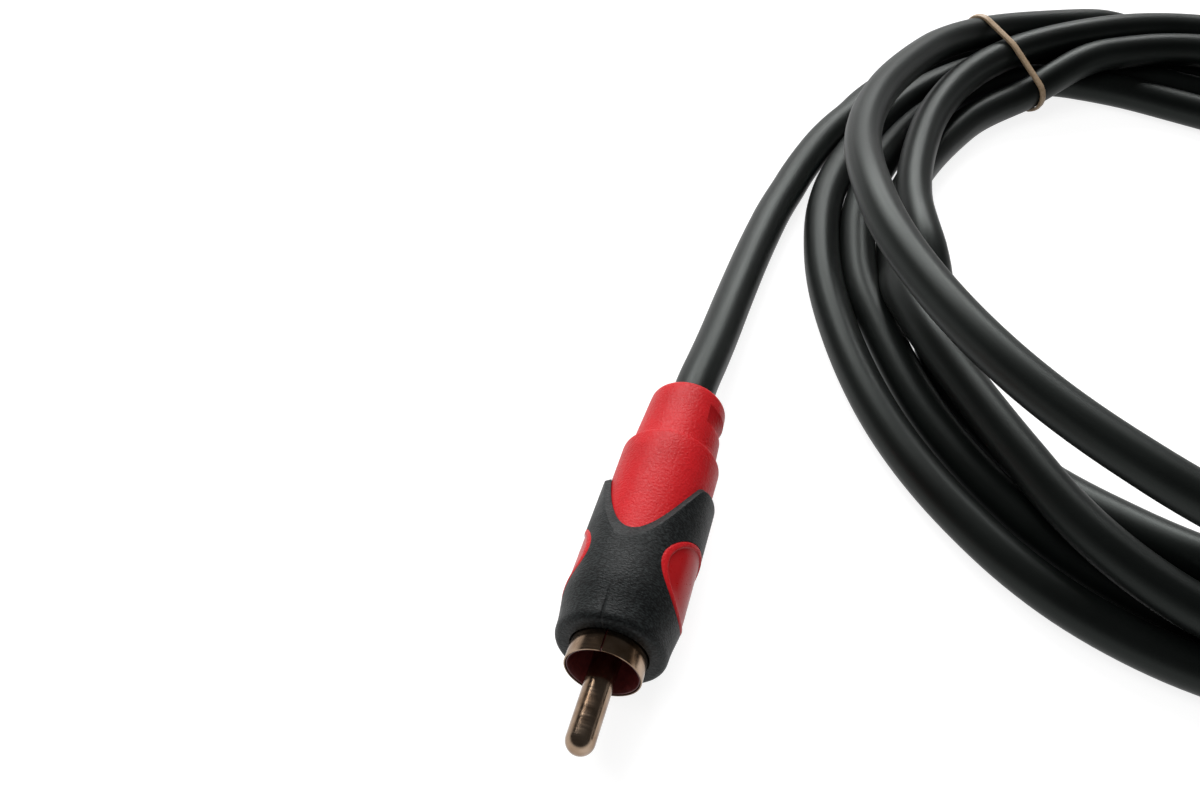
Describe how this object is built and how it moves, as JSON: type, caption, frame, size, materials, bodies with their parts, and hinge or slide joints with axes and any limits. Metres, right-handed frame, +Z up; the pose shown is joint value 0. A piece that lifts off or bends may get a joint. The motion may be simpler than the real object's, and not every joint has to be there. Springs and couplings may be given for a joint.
{
  "type": "rca audio cable",
  "caption": "Coiled screened audio lead with a moulded phono plug on each end: centre pin in a ground shell, black scalloped grip over a red body, and side pads.",
  "frame": {"origin": "on the table, under the middle of the near plug's length", "axes": "+Z up, +Y along the near plug from its pin towards its cable"},
  "size_m": [0.1669, 0.1623, 0.0235],
  "materials": {
    "nickel_plate": "bright nickel plate on brass",
    "bush_plastic": "satin moulded nylon",
    "red_pvc": "fine-textured moulded PVC",
    "black_pvc": "speckled moulded PVC",
    "cable_pvc": "satin extruded PVC jacket",
    "bare_copper": "bare copper wire",
    "core_polythene": "smooth polythene",
    "solder": "tin solder",
    "tie_plastic": "clear beige strip"
  },
  "bodies": {
    "root": {"centre_pin": "nickel_plate", "pin_insulator": "bush_plastic", "ground_shell": "nickel_plate", "red_body": "red_pvc", "black_grip": "black_pvc", "cable_jacket_end": "cable_pvc", "shield_braid": "bare_copper", "core_insulation": "core_polythene", "inner_conductor": "bare_copper", "pin_solder": "solder", "shield_solder": "solder", "centre_pin_far": "nickel_plate", "pin_insulator_far": "bush_plastic", "ground_shell_far": "nickel_plate", "red_body_far": "red_pvc", "black_grip_far": "black_pvc", "cable_jacket_end_far": "cable_pvc", "shield_braid_far": "bare_copper", "core_insulation_far": "core_polythene", "inner_conductor_far": "bare_copper", "pin_solder_far": "solder", "shield_solder_far": "solder", "cable_run": "cable_pvc", "cable_coil": "cable_pvc", "cable_tail": "cable_pvc", "coil_tie": "tie_plastic"}
  },
  "joints": []
}
